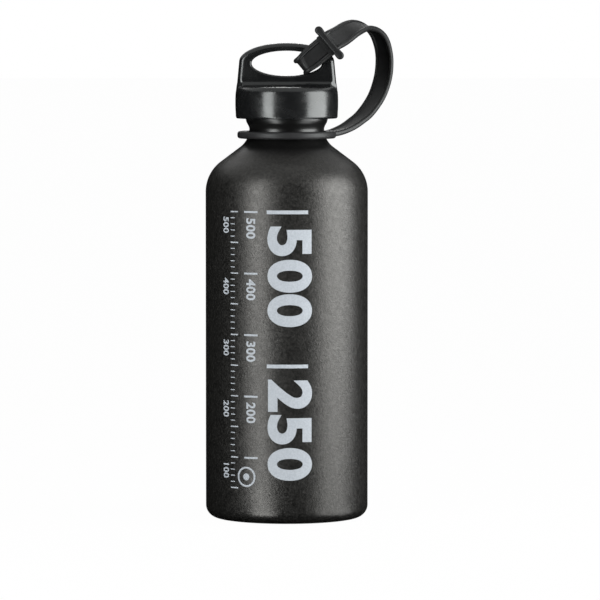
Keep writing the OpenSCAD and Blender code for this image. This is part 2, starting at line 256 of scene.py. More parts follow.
def turned(name, outline, sides=192):
    """A body of revolution from its half section, (radius, height) from point to point."""
    piece = drawn(name, [(r, 0, z) for r, z in outline])
    bpy.ops.mesh.spin(steps=sides, angle=math.tau, center=(0, 0, 0), axis=(0, 0, 1))
    clean_up()
    return piece


def pushed(name, points, way):
    """A flat outline pushed out along way into a closed solid."""
    piece = drawn(name, points)
    bpy.ops.mesh.edge_face_add()
    bpy.ops.mesh.extrude_region_move(TRANSFORM_OT_translate={"value": way})
    clean_up()
    return piece


def apply(piece, kind, **settings):
    """Adds one modifier to the piece and applies it."""
    pick(piece)
    modifier = piece.modifiers.new(kind.lower(), kind)
    for key, value in settings.items():
        setattr(modifier, key, value)
    bpy.ops.object.modifier_apply(modifier=modifier.name)


def softened(piece, test, size, segments=4):
    """Rounds the edges round the faces that the test says yes to."""
    pick(piece)
    select_faces(piece, test)
    bpy.ops.mesh.region_to_loop()
    bpy.ops.mesh.bevel(offset=size, segments=segments, affect="EDGES")
    bpy.ops.object.mode_set(mode="OBJECT")


def cut(piece, other, operation="DIFFERENCE"):
    """Boolean of the piece with other, which is used up."""
    apply(piece, "BOOLEAN", operation=operation, solver="EXACT", object=other)
    bpy.data.objects.remove(other)


def joined(name, pieces):
    deselect()
    for piece in pieces:
        piece.select_set(True)
    bpy.context.view_layer.objects.active = pieces[0]
    bpy.ops.object.join()
    return name_piece(bpy.context.object, name)


def smooth(piece, angle=35):
    pick(piece)
    bpy.ops.object.shade_smooth_by_angle(angle=math.radians(angle))


def copied(piece):
    """A copy of the piece with its own mesh."""
    pick(piece)
    bpy.ops.object.duplicate()
    return bpy.context.object


def helix(name, section, lead, turns, steps=64):
    """A closed section in the XZ plane, driven round the axis and up by its lead each turn."""
    piece = drawn(name, [(r, 0, z) for r, z in section])
    bpy.ops.mesh.edge_face_add()
    bpy.ops.mesh.delete(type="ONLY_FACE")
    bpy.ops.object.mode_set(mode="OBJECT")
    apply(piece, "SCREW", axis="Z", screw_offset=lead, iterations=turns, steps=steps,
          render_steps=steps, use_smooth_shade=True, use_normal_calculate=False)
    bpy.ops.object.mode_set(mode="EDIT")
    bpy.ops.mesh.select_mode(type="EDGE")
    bpy.ops.mesh.select_all(action="DESELECT")
    bpy.ops.mesh.select_non_manifold()
    bpy.ops.mesh.fill_holes(sides=0)
    clean_up()
    return piece


# Materials

class Finish:
    """One procedural material: a Principled shader and a few nodes on Object coordinates."""

    def __init__(self, name, colour, roughness, **sockets):
        self.material = bpy.data.materials.new(name)
        self.material.use_nodes = True
        self.tree = self.material.node_tree
        self.shader = self.tree.nodes["Principled BSDF"]
        self.set(self.shader, **{"Base Color": (*colour, 1), "Roughness": roughness, **sockets})
        self.where = self.node("ShaderNodeTexCoord").outputs["Object"]

    def node(self, kind, **settings):
        made = self.tree.nodes.new(kind)
        for key, value in settings.items():
            setattr(made, key, value)
        return made

    def set(self, node, **sockets):
        for key, value in sockets.items():
            node.inputs[key].default_value = value

    def link(self, source, node, socket):
        self.tree.links.new(source, node.inputs[socket])

    def noise(self, size, detail=2, rough=0.5):
        """Noise whose grains are about size metres across."""
        noise = self.node("ShaderNodeTexNoise")
        self.set(noise, Scale=1 / size, Detail=detail, Roughness=rough)
        self.link(self.where, noise, "Vector")
        return noise.outputs["Fac"]

    def spread(self, value, low, high, start=0.35, end=0.65):
        """A value that runs from low to high as the given one runs from start to end."""
        spread = self.node("ShaderNodeMapRange", interpolation_type="SMOOTHSTEP")
        self.link(value, spread, "Value")
        for key, number in zip(("From Min", "From Max", "To Min", "To Max"), (start, end, low, high)):
            spread.inputs[key].default_value = number
        return spread.outputs["Result"]

    def tint(self, value, first, second):
        """A colour between two, by a value from 0 to 1."""
        mix = self.node("ShaderNodeMix", data_type="RGBA")
        colours = [s for s in mix.inputs if s.type == "RGBA"]
        colours[0].default_value = (*first, 1)
        colours[1].default_value = (*second, 1)
        self.tree.links.new(value, mix.inputs[0])
        return [s for s in mix.outputs if s.type == "RGBA"][0]

    def bump(self, height, distance, under=None):
        bump = self.node("ShaderNodeBump")
        self.set(bump, Distance=distance, Strength=1.0)
        self.link(height, bump, "Height")
        if under:
            self.link(under, bump, "Normal")
        return bump.outputs["Normal"]

    def height(self):
        """Height above the base, in metres."""
        split = self.node("ShaderNodeSeparateXYZ")
        self.link(self.where, split, "Vector")
        return split.outputs["Z"]

    def math(self, operation, first, second):
        made = self.node("ShaderNodeMath", operation=operation)
        for socket, value in zip(made.inputs, (first, second)):
            if isinstance(value, (int, float)):
                socket.default_value = value
            else:
                self.tree.links.new(value, socket)
        return made.outputs["Value"]


# Cast of the sheen on plastic and rubber
COOL_SHEEN = (0.96, 1, 0.99, 1)


def powder_coat():
    """Fine sandy black powder coat on the body, that thins out to a smooth neck, where its colour also
    sinks to its dark tone as painted shade under the ring.
    """
    f = Finish("powder_coat", (0.009, 0.009, 0.0086), 0.38, **{"Specular IOR Level": 0.6})
    body = f.spread(f.height(), 1, 0, SMOOTH_NECK_Z - PAINT_FADE, SMOOTH_NECK_Z)
    grain = f.math("MULTIPLY", f.noise(0.7 * MM, 3, 0.65), body)
    mottle = f.math("MULTIPLY", f.noise(2.6 * MM, 2), body)
    spots = f.math("MULTIPLY", f.spread(f.noise(1.3 * MM, 2), -0.08, 0.08), body)
    f.link(f.math("ADD", spots, 0.6), f.shader, "Specular IOR Level")
    # Dark and pale grains at random; where the grain fades out towards the neck, the colour sinks to the
    # dark tone, painted shade under the ring
    f.link(f.tint(f.spread(grain, 0, 1), (0.004, 0.004, 0.0039), (0.013, 0.013, 0.012)),
           f.shader, "Base Color")
    f.link(f.tint(body, (0.97, 1, 0.99), (1, 0.99, 0.95)), f.shader, "Specular Tint")
    rough = f.math("ADD", f.spread(grain, 0.33, 0.42), f.spread(mottle, -0.03, 0.03))
    f.link(rough, f.shader, "Roughness")
    f.link(f.bump(grain, 0.1 * MM, f.bump(mottle, 0.03 * MM)), f.shader, "Normal")
    return f.material


def bare_metal():
    """Drawn and machined aluminium inside the bottle."""
    f = Finish("bare_metal", (0.72, 0.71, 0.69), 0.34, Metallic=1.0)
    stretch = f.node("ShaderNodeMapping")
    f.link(f.where, stretch, "Vector")
    stretch.inputs["Scale"].default_value = (1, 1, 14)
    lines = f.node("ShaderNodeTexNoise")
    f.set(lines, Scale=420, Detail=4, Roughness=0.6)
    f.link(stretch.outputs["Vector"], lines, "Vector")
    f.link(f.spread(lines.outputs["Fac"], 0.26, 0.46), f.shader, "Roughness")
    f.link(f.bump(lines.outputs["Fac"], 0.02 * MM), f.shader, "Normal")
    f.link(f.tint(f.noise(9 * MM), (0.66, 0.65, 0.63), (0.78, 0.775, 0.76)), f.shader, "Base Color")
    return f.material


def moulded_plastic(name, colour, roughness, shine=0.5):
    """Semi-gloss black plastic, with the faint waves and haze of a moulding."""
    f = Finish(name, colour, roughness,
               **{"Specular IOR Level": shine, "Specular Tint": COOL_SHEEN})
    haze = f.noise(7 * MM, 3)
    fine = f.noise(0.35 * MM, 2)
    f.link(f.spread(haze, roughness - 0.035, roughness + 0.045), f.shader, "Roughness")
    paler = tuple(c * 1.5 for c in colour)
    f.link(f.tint(f.spread(fine, 0, 1), colour, paler), f.shader, "Base Color")
    waves = f.bump(haze, 0.035 * MM)
    f.link(f.bump(fine, 0.006 * MM, waves), f.shader, "Normal")
    return f.material


def moulded_rubber(name, colour, roughness):
    """Satin black rubber with a fine eroded skin and a bloom, paler on the ring and fading out just above
    it.
    """
    f = Finish(name, colour, roughness,
               **{"Specular IOR Level": 0.35, "Specular Tint": COOL_SHEEN})
    bloom = f.noise(4 * MM, 4, 0.6)
    skin = f.noise(0.4 * MM, 3, 0.6)
    paler = tuple(c * 2.8 for c in colour)
    ring = f.spread(f.height(), 0.75, 0, COLLAR_Z + 3 * MM, COLLAR_Z + 9 * MM)
    f.link(f.tint(f.math("ADD", f.spread(bloom, 0, 0.25), ring), colour, paler),
           f.shader, "Base Color")
    f.link(f.spread(skin, roughness - 0.05, roughness + 0.07), f.shader, "Roughness")
    f.link(f.bump(skin, 0.03 * MM), f.shader, "Normal")
    return f.material


def spring_wire():
    """Drawn stainless wire."""
    f = Finish("spring_wire", (0.62, 0.61, 0.6), 0.22, Metallic=1.0)
    drawn_lines = f.noise(0.5 * MM, 3)
    f.link(f.spread(drawn_lines, 0.18, 0.32), f.shader, "Roughness")
    f.link(f.bump(drawn_lines, 0.005 * MM), f.shader, "Normal")
    return f.material


def printed_ink():
    """Pale matt screen-print ink, a little thin in places."""
    f = Finish("printed_ink", (0.4, 0.435, 0.47), 0.55, **{"Specular IOR Level": 0.3})
    f.link(f.tint(f.spread(f.noise(0.7 * MM, 3), 0, 1), (0.37, 0.405, 0.44), (0.42, 0.455, 0.49)),
           f.shader, "Base Color")
    f.link(f.bump(f.noise(0.55 * MM, 3, 0.65), 0.03 * MM), f.shader, "Normal")
    return f.material


POWDER = powder_coat()
METAL = bare_metal()
CAP_PLASTIC = moulded_plastic("cap_plastic", (0.006, 0.0063, 0.0066), 0.24, 0.7)
PLUG_PLASTIC = moulded_plastic("plug_plastic", (0.02, 0.02, 0.021), 0.36)
TETHER_RUBBER = moulded_rubber("tether_rubber", (0.007, 0.007, 0.0073), 0.44)
SEAL_RUBBER = moulded_rubber("seal_rubber", (0.03, 0.03, 0.031), 0.42)
WIRE = spring_wire()
INK = printed_ink()


def coat(piece, material):
    piece.data.materials.clear()
    piece.data.materials.append(material)


# Bottle: outer skin from the dished base up to the rolled lip, inner skin back down

def bottle_outline():
    """Half section of the bottle, from the dish's middle round the outside and back inside."""
    dish_round = (DISH_R ** 2 + DISH_H ** 2) / (2 * DISH_H)
    dish_half = math.degrees(math.asin(DISH_R / dish_round))
    inner_r = BODY_R - WALL
    inner_round = SHOULDER_ROUND - WALL
    inner_corner = BASE_ROUND - WALL
    angle = math.radians(INNER_ANGLE)
    cone_bottom_z = BARREL_TOP + inner_round * math.sin(angle)
    cone_bottom_r = inner_r - inner_round * (1 - math.cos(angle))
    cone_top_r = BORE_R + THROAT_ROUND * (1 - math.cos(angle))
    throat_z = (cone_bottom_z + (cone_bottom_r - cone_top_r) / math.tan(angle)
                + THROAT_ROUND * math.sin(angle))
    bead = [(NECK_R + 0.1 * MM, WAIST_Z + 0.4 * MM), (NECK_R + 0.3 * MM, WAIST_Z + 1 * MM),
            (NECK_R + 0.6 * MM, WAIST_Z + 1.6 * MM), (NECK_R + 0.95 * MM, WAIST_Z + 2.2 * MM),
            (LIP_R - 0.35 * MM, WAIST_Z + 2.9 * MM), (LIP_R - 0.05 * MM, WAIST_Z + 4.2 * MM)]
    return (
        arc((0, DISH_H - dish_round), dish_round, 90, 90 - dish_half, 14)
        + arc((BODY_R - BASE_ROUND, BASE_ROUND), BASE_ROUND, -90, 0, 14)
        + [(BODY_R, z * MM) for z in (30, 60, 90, 120)]
        + arc((BODY_R - SHOULDER_ROUND, BARREL_TOP), SHOULDER_ROUND, 0, SHOULDER_ANGLE, 18)
        + arc((NECK_R + NECK_ROUND, WAIST_Z), NECK_ROUND, 180 + SHOULDER_ANGLE, 180, 18)
        + bead
        + arc((LIP_R - LIP_ROUND, MOUTH_Z - LIP_ROUND), LIP_ROUND, 0, 90, 12)
        + [(BORE_R + SEAT_DEPTH, MOUTH_Z), (BORE_R, MOUTH_Z - SEAT_DEPTH)]
        + arc((BORE_R + THROAT_ROUND, throat_z), THROAT_ROUND, 180, 180 + INNER_ANGLE, 8)
        + arc((inner_r - inner_round, BARREL_TOP), inner_round, INNER_ANGLE, 0, 14)
        + arc((inner_r - inner_corner, FLOOR_T + inner_corner), inner_corner, 0, -90, 8)
        + arc((0, DISH_H - dish_round), dish_round + FLOOR_T, 90 - dish_half, 90, 10)
    )


def inner_face(face):
    """True on the bottle's inner skin: it looks at the axis, or up from the floor."""
    c, n = face.center, face.normal
    floor = n.z > 0.5 and c.z < 20 * MM
    return c.x * n.x + c.y * n.y < -0.05 * math.hypot(c.x, c.y) or floor


def make_bottle():
    bottle = turned("bottle_body", bottle_outline())
    bottle.data.materials.append(POWDER)
    bottle.data.materials.append(METAL)
    for face in bottle.data.polygons:
        face.material_index = 1 if inner_face(face) else 0
    smooth(bottle, 32)
    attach(bottle, "bottle")
    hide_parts("bottle_shell")


def thread_section(root, crest, low):
    """Section of a thread ridge from its root to its crest, its foot at height low."""
    return [(root, low), (crest, low + 0.75 * MM), (crest, low + 1.15 * MM), (root, low + 1.9 * MM)]


def make_threads():
    """Two turns of thread on the stopper's shank, and two in the neck's bore."""
    male = helix("stopper_thread", thread_section(MALE_ROOT, MALE_CREST, PLUG_LOW + 0.6 * MM),
                 THREAD_LEAD, THREAD_TURNS)
    coat(male, PLUG_PLASTIC)
    smooth(male, 40)
    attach(male, "stopper")
    female = helix("neck_thread", thread_section(FEMALE_ROOT, FEMALE_CREST, PLUG_LOW + 2.1 * MM),
                   THREAD_LEAD, THREAD_TURNS)
    coat(female, METAL)
    smooth(female, 40)
    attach(female, "bottle")


# Print: a fill scale of plain numbers, wrapped round the barrel

INK_T = 0.1 * MM
BIG_BAR = (-8.6 * MM, 9.4 * MM)
BIG_X = 0.4 * MM
BIG_SIZE = 25.2 * MM
BIG_DROP = 27.5 * MM
BIG_STRETCH = 1.1
SMALL_BAR = (-19.2 * MM, -12.8 * MM)
SMALL_X = -16.2 * MM
SMALL_SIZE = 5.8 * MM
SMALL_DROP = 7 * MM
TICK_LEFT = -26.5 * MM
LONG_TICK = 4.1 * MM
SHORT_TICK = 2.3 * MM
TICK_X = -29.6 * MM
TICK_SIZE = 4.6 * MM
TICK_DROP = 5.8 * MM
RING_X = -18.2 * MM
RING_Z = 20.6 * MM


def level(millilitres):
    """Height that this much fuel reaches in the barrel."""
    bore = math.pi * (BODY_R - WALL) ** 2
    return FLOOR_T + 0.7 * MM + millilitres * 1e-6 / bore


def figure(words, size, across, up, bold=0.0, stretch=1.0):
    """Plain figures that read downwards, their middle at (across, up) on the flat print."""
    deselect()
    bpy.ops.object.text_add()
    text = bpy.context.object
    text.data.body = words
    text.data.size = size
    text.data.offset = bold
    text.data.space_character = 1.0 + 2 * bold / size
    text.data.align_x = "CENTER"
    text.data.align_y = "CENTER"
    bpy.ops.object.convert(target="MESH")
    text = bpy.context.object
    text.rotation_euler = (math.radians(90), math.radians(90), 0)
    text.location = (across, 0, up)
    text.scale = (stretch, 1, 1)
    bpy.ops.object.transform_apply(location=True, rotation=True, scale=True)
    return text


def bar(left, right, up, thick):
    """A line of the flat print."""
    deselect()
    bpy.ops.mesh.primitive_plane_add(size=1, rotation=(math.radians(90), 0, 0))
    made = bpy.context.object
    made.scale = (right - left, thick, 1)
    made.location = ((left + right) / 2, 0, up)
    bpy.ops.object.transform_apply(location=True, rotation=True, scale=True)
    return made


def ring_mark(across, up, radius, thick):
    """A ring of the flat print, or a dot where its thickness is nothing."""
    deselect()
    bpy.ops.mesh.primitive_circle_add(vertices=64, radius=radius, fill_type="NGON",
                                      location=(across, 0, up), rotation=(math.radians(90), 0, 0))
    bpy.ops.object.transform_apply(location=True, rotation=True)
    made = bpy.context.object
    if thick:
        bpy.ops.object.mode_set(mode="EDIT")
        bpy.ops.mesh.select_all(action="SELECT")
        bpy.ops.mesh.inset(thickness=thick)
        bpy.ops.mesh.delete(type="FACE")
        bpy.ops.object.mode_set(mode="OBJECT")
    return made


def make_print():
    """Half and full marks with big figures, a scale of hundreds, fine ticks and a ring mark."""
    parts = []
    for amount in (250, 500):
        top = level(amount)
        parts.append(bar(*BIG_BAR, top, 1.6 * MM))
        parts.append(figure(str(amount), BIG_SIZE, BIG_X, top - BIG_DROP, 0.9 * MM, BIG_STRETCH))
    for amount in range(100, 501, 100):
        top = level(amount)
        parts.append(bar(*SMALL_BAR, top, 0.8 * MM))
        if amount > 100:
            parts.append(figure(str(amount), SMALL_SIZE, SMALL_X, top - SMALL_DROP, 0.16 * MM))
    for amount in range(50, 501, 10):
        length, thick = (LONG_TICK, 0.55 * MM) if amount % 50 == 0 else (SHORT_TICK, 0.4 * MM)
        parts.append(bar(TICK_LEFT, TICK_LEFT + length, level(amount), thick))
    for amount in range(100, 501, 100):
        parts.append(figure(str(amount), TICK_SIZE, TICK_X, level(amount) - TICK_DROP, 0.12 * MM))
    parts.append(ring_mark(RING_X, RING_Z, 4.4 * MM, 0.8 * MM))
    parts.append(ring_mark(RING_X, RING_Z, 1.5 * MM, 0))
    ink = joined("level_print", parts)
    left, right = cut_into_strips(ink, 1 * MM)
    apply(ink, "SOLIDIFY", thickness=INK_T, offset=0)
    apply(ink, "SIMPLE_DEFORM", deform_method="BEND", deform_axis="Z",
          angle=(right - left) / BODY_R)
    pick(ink)
    ink.location = (0, -BODY_R, 0)
    bpy.ops.object.transform_apply(location=True)
    coat(ink, INK)
    smooth(ink, 30)
    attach(ink, "bottle")


def cut_into_strips(piece, width):
    """Cuts a flat print into upright strips, so that it can bend. Gives its left and right edge."""
    pick(piece)
    left = min(v.co.x for v in piece.data.vertices)
    right = max(v.co.x for v in piece.data.vertices)
    bpy.ops.object.mode_set(mode="EDIT")
    for i in range(1, int((right - left) / width) + 1):
        bpy.ops.mesh.select_all(action="SELECT")
        bpy.ops.mesh.bisect(plane_co=(left + i * width, 0, 0), plane_no=(1, 0, 0))
    bpy.ops.mesh.select_all(action="SELECT")
    bpy.ops.mesh.normals_make_consistent(inside=False)
    bpy.ops.object.mode_set(mode="OBJECT")
    return left, right


# Cap: one moulding of a skirt, two falling shoulders and a handle

def skirt_outline():
    """Half section of the cap: the swollen skirt, the snap bead inside it, the roof and the peg."""
    swell_round = ((SKIRT_H / 2) ** 2 + SKIRT_SWELL ** 2) / (2 * SKIRT_SWELL)
    swell_centre = (SKIRT_OUT + SKIRT_SWELL - swell_round, SKIRT_Z + SKIRT_H / 2)
    half = math.degrees(math.asin((SKIRT_H / 2 - RIM_ROUND) / swell_round))
    bead_r = SKIRT_IN - SNAP_BEAD
    return (
        [(0, SKIRT_TOP), (SKIRT_OUT - RIM_ROUND, SKIRT_TOP)]
        + arc((SKIRT_OUT - RIM_ROUND, SKIRT_TOP - RIM_ROUND), RIM_ROUND, 80, 10, 6)
        + arc(swell_centre, swell_round, half, -half, 16)
        + [(SKIRT_OUT + 0.2 * MM, SKIRT_Z + 0.6 * MM), (SKIRT_OUT - 0.3 * MM, SKIRT_Z),
           (SKIRT_IN, SKIRT_Z), (SKIRT_IN, MOUTH_Z - 1.6 * MM), (bead_r, MOUTH_Z - 0.7 * MM),
           (bead_r, MOUTH_Z - 0.2 * MM), (bead_r + 0.2 * MM, MOUTH_Z), (SKIRT_IN, MOUTH_Z),
           (SKIRT_IN, ROOF_Z - 1.1 * MM), (TOOTH_OUT + 0.3 * MM, ROOF_Z),
           (POCKET_R, ROOF_Z), (POCKET_R, POCKET_Z), (PEG_R, POCKET_Z),
           (PEG_R - 0.3 * MM, POCKET_Z - PEG_H), (0, POCKET_Z - PEG_H)]
    )


def trim_shoulders(skirt):
    """Planes off the skirt's top, falling from the handle's foot to the front and the back."""
    side = HANDLE_T / 2 + FILLET
    for s in (-1, 1):
        pick(skirt)
        bpy.ops.object.mode_set(mode="EDIT")
        bpy.ops.mesh.select_all(action="SELECT")
        bpy.ops.mesh.bisect(plane_co=(0, s * side, SKIRT_TOP), use_fill=True, clear_outer=True,
                            plane_no=(0, s * SHOULDER_FALL, SKIRT_OUT - side))
        clean_up()


def handle_plate():
    """The handle's plate, rounded all round, with its window flared at both faces."""
    outline = ([(-SKIRT_OUT, SKIRT_TOP - 3 * MM), (SKIRT_OUT, SKIRT_TOP - 3 * MM)]
               + ellipse_arc(HANDLE_W / 2, ARCH_RISE, ARCH_Z, 0, 180, 96))
    points = [(x, -HANDLE_T / 2, z) for x, z in outline]
    plate = pushed("handle", points, (0, HANDLE_T, 0))
    softened(plate, lambda f: abs(f.normal.y) > 0.9, HANDLE_EDGE, 8)
    flare = [(HANDLE_T, WINDOW_EDGE)]
    for i in range(7):
        a = math.radians(15 * i)
        flare.append((HANDLE_T / 2 - WINDOW_EDGE * (1 - math.cos(a)), WINDOW_EDGE * (1 - math.sin(a))))
    sides = [(-y, grow) for y, grow in flare] + [(y, grow) for y, grow in reversed(flare)]
    stations = [(Vector((0, y, 0)), Vector((1, 0, 0)), Vector((0, 0, 1))) for y, grow in sides]
    sections = [ellipse_arc(WINDOW_W / 2 + grow, WINDOW_H / 2 + grow, WINDOW_Z, 0, 357, 119)
                for y, grow in sides]
    cut(plate, swept("window", stations, sections))
    return plate


def cheeks():
    """Two small blocks that carry the handle's ends down into the skirt's wall."""
    inside, low, high = SKIRT_IN + 0.1 * MM, SKIRT_TOP - 8 * MM, SKIRT_TOP + MM
    outline = [(inside, low), (SKIRT_OUT + 0.35 * MM, low),
               (SKIRT_OUT + 0.3 * MM, SKIRT_TOP - 5 * MM), (SKIRT_OUT + 0.1 * MM, SKIRT_TOP - 2 * MM),
               (SKIRT_OUT - 0.25 * MM, high), (inside, high)]
    return [pushed("cheek", [(s * x, -CHEEK_W / 2, z) for x, z in outline], (0, CHEEK_W, 0))
            for s in (-1, 1)]


def handle_fillets():
    """Hollow fillets along the handle's foot, trimmed to the round of the skirt."""
    side = HANDLE_T / 2
    low, high = SKIRT_TOP - MM, SKIRT_TOP + 4 * MM
    right = ([(side + FILLET, low)]
             + arc((side + FILLET, SKIRT_TOP + FILLET), FILLET, 270, 180, 10))
    outline = right + [(-y, z) for y, z in reversed(right)]
    foot_r = SKIRT_OUT - RIM_ROUND
    solid = pushed("fillets", [(-SKIRT_OUT, y, z) for y, z in outline], (2 * SKIRT_OUT, 0, 0))
    round_off = turned("round_off", [(0, low - MM), (foot_r, low - MM), (foot_r, high), (0, high)])
    cut(solid, round_off, "INTERSECT")
    return solid


def cap_teeth():
    """Clutch teeth under the roof, half a pitch round from the stopper's."""
    pitch = math.tau / TEETH
    low, high = ROOF_Z - TOOTH_H, ROOF_Z + 0.4 * MM
    half = pitch / 4
    corner_in = (TOOTH_IN * math.cos(half), TOOTH_IN * math.sin(half) - TOOTH_PLAY)
    corner_out = (TOOTH_OUT * math.cos(half), TOOTH_OUT * math.sin(half) - TOOTH_PLAY)
    outline = [corner_in, corner_out, (TOOTH_OUT, 0), (corner_out[0], -corner_out[1]),
               (corner_in[0], -corner_in[1])]
    tooth = pushed("tooth", [(x, y, low) for x, y in outline], (0, 0, high - low))
    teeth = [tooth] + [copied(tooth) for i in range(1, TEETH)]
    for i, piece in enumerate(teeth):
        pick(piece)
        piece.rotation_euler = (0, 0, (i + 0.5) * pitch)
        bpy.ops.object.transform_apply(rotation=True)
    return teeth


def make_cap():
    """The moulding's parts grown together and smoothed, so that its edges are soft all over."""
    skirt = turned("skirt", skirt_outline(), 256)
    trim_shoulders(skirt)
    cap = joined("cap", [skirt, handle_plate(), handle_fillets()] + cheeks() + cap_teeth())
    apply(cap, "REMESH", mode="VOXEL", voxel_size=VOXEL, adaptivity=0, use_smooth_shade=True)
    apply(cap, "SMOOTH", factor=0.5, iterations=12)
    coat(cap, CAP_PLASTIC)
    pick(cap)
    bpy.ops.object.shade_smooth()
    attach(cap, "cap")
    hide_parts("cap_shell")


# Return spring between the stopper and the cap's roof

def make_spring():
    low = spring_low.z + WIRE_R
    lead = (spring_high.z - WIRE_R - low) / COIL_TURNS
    section = arc((COIL_R, low), WIRE_R, 0, 337.5, 15)
    spring = helix("spring_coil", section, lead, COIL_TURNS, 72)
    coat(spring, WIRE)
    smooth(spring, 50)
    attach(spring, "swivel")
    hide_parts("return_spring")
    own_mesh(spring)


# Tether: a ring on the neck, a flat strap with raised borders, and a loop round the handle

RING_DIR = Vector((math.cos(STRAP_ANGLE), math.sin(STRAP_ANGLE), 0))
RING_ACROSS = Vector((math.sin(STRAP_ANGLE), -math.cos(STRAP_ANGLE), 0))
LOOP_DIR = Vector((-math.cos(LOOP_SLOPE), 0, -math.sin(LOOP_SLOPE)))
LOOP_ACROSS = Vector((math.sin(LOOP_SLOPE), 0, -math.cos(LOOP_SLOPE)))
BAND_Z = COLLAR_Z + COLLAR_H / 2

# The strap's middle line in millimetres, its heights above the neck's rim, and its width's direction
ROUTE = [
    ((21.8, 19.2, -8.7), (0.67, -0.74, 0)),
    ((26.5, 23.4, -6.8), (0.71, -0.7, 0)),
    ((30.5, 27, -4.2), (0.74, -0.67, 0)),
    ((34.8, 30.8, -0.6), (0.75, -0.66, 0)),
    ((39.6, 35.2, 6.2), (0.75, -0.66, 0)),
    ((42.4, 37.5, 13.7), (0.75, -0.66, 0)),
    ((43.4, 38.5, 20.7), (0.72, -0.69, 0)),
    ((43, 38, 27.2), (0.69, -0.72, -0.05)),
    ((41, 34.5, 33.2), (0.72, -0.66, -0.15)),
    ((37.5, 29.5, 36.9), (0.77, -0.58, -0.24)),
    ((33, 22.3, 38.3), (0.8, -0.5, -0.32)),
    ((28.5, 14, 36.9), (0.77, -0.35, -0.52)),
    ((23.8, 6.5, 33.8), (0.68, -0.15, -0.7)),
]

# Sections of the strap from one point of its route to the next
CUTS = 8


def strap_section(half_w, half_t, lobe=0.0, sink=0.7 * MM):
    """Corners (across, up) of the strap: a bead along each edge and a sunk panel on each face.

    A lobe swells the beads of the under face."""
    panel = half_w - STRAP_BORDER
    top = (arc((half_w - STRAP_BEAD, half_t - STRAP_BEAD), STRAP_BEAD, 0, 158, 9)
           + [(panel, half_t - sink)])
    upper = top + [(-x, z) for x, z in reversed(top)]
    under = [(x, -z - (lobe if abs(x) > panel else 0)) for x, z in reversed(upper)]
    return upper + under


def smooth_point(a, b, c, d, t):
    """Point on a smooth curve between b and c."""
    return 0.5 * (2 * b + (c - a) * t + (2 * a - 5 * b + 4 * c - d) * t * t
                  + (3 * b - a - 3 * c + d) * t ** 3)


def smooth_way(a, b, c, d, t):
    """Direction of that curve."""
    way = (c - a) + 2 * (2 * a - 5 * b + 4 * c - d) * t + 3 * (3 * b - a - 3 * c + d) * t * t
    return way.normalized()


def strap_stations():
    """Middle, width direction and face direction of the strap, ring by ring."""
    start = RING_DIR * (COLLAR_R + TAB_LEN) + Vector((0, 0, BAND_Z))
    end = KEEPER_AT - LOOP_DIR * (KEEPER_T / 2 - 0.4 * MM)
    lift = Vector((0, 0, MOUTH_Z))
    middle = ([start - RING_DIR * 5 * MM, start - RING_DIR * 4 * MM, start]
              + [Vector(p) * MM + lift for p, wide in ROUTE] + [end, end + LOOP_DIR * MM])
    across = [RING_ACROSS] * 3 + [Vector(wide) for p, wide in ROUTE] + [LOOP_ACROSS] * 2
    stations = []
    for i in range(1, len(middle) - 2):
        for k in range(CUTS):
            t = k / CUTS
            four = middle[i - 1:i + 3]
            way = smooth_way(*four, t)
            wide = across[i] * (1 - t) + across[i + 1] * t
            wide = (wide - way * wide.dot(way)).normalized()
            stations.append((smooth_point(*four, t), wide, wide.cross(way)))
    stations.append((end + LOOP_DIR * MM, LOOP_ACROSS, LOOP_ACROSS.cross(LOOP_DIR)))
    return stations


def swept(name, stations, sections):
    """A closed tube through one section at each station."""
    points = []
    for (middle, across, up), section in zip(stations, sections):
        points += [middle + across * x + up * z for x, z in section]
    sides = len(sections[0])
    count = len(stations)
    faces = [(i * sides + k, i * sides + (k + 1) % sides, (i + 1) * sides + (k + 1) % sides,
              (i + 1) * sides + k) for i in range(count - 1) for k in range(sides)]
    faces += [tuple(range(sides)), tuple(range((count - 1) * sides, count * sides))]
    mesh = bpy.data.meshes.new(name)
    mesh.from_pydata(points, [], faces)
    piece = bpy.data.objects.new(name, mesh)
    bpy.context.scene.collection.objects.link(piece)
    pick(piece)
    bpy.ops.object.mode_set(mode="EDIT")
    clean_up()
    return piece


def loop_stations():
    """Round the handle: down its front, through the window and up its back.

    Gives the stations and how far each of them is from the keeper."""
    out = HANDLE_T / 2 + LOOP_GAP + STRAP_T / 2
    straight = LOOP_LEN - 0.7 * MM - LOOP_BEND
    front = [(s * MM, -out) for s in (0, 4, 8, 10, 12)] + [(straight, -out)]
    for i in range(1, 7):
        a = math.radians(15 * i)
        front.append((straight + LOOP_BEND * math.sin(a), -out + LOOP_BEND - LOOP_BEND * math.cos(a)))
    path = front + [(s, -y) for s, y in reversed(front)]
    stations = []
    for i, (s, y) in enumerate(path):
        before = path[max(i - 1, 0)]
        after = path[min(i + 1, len(path) - 1)]
        way = LOOP_DIR * (after[0] - before[0]) + Vector((0, 1, 0)) * (after[1] - before[1])
        way.normalize()
        stations.append((KEEPER_AT + LOOP_DIR * s + Vector((0, y, 0)), LOOP_ACROSS,
                         LOOP_ACROSS.cross(way)))
    return stations, [s for s, y in path]


def make_loop():
    """The strap's end, narrower and with swollen beads where it folds through the window."""
    stations, reach = loop_stations()
    sections = []
    for s in reach:
        half_w = STRAP_W / 2 - ramp(s, 10.5 * MM, 4 * MM) * 0.65 * MM
        lobe = ramp(s, 12 * MM, 2.5 * MM) * 0.6 * MM
        sections.append(strap_section(half_w, STRAP_T / 2, lobe, 0.25 * MM))
    return swept("loop", stations, sections)


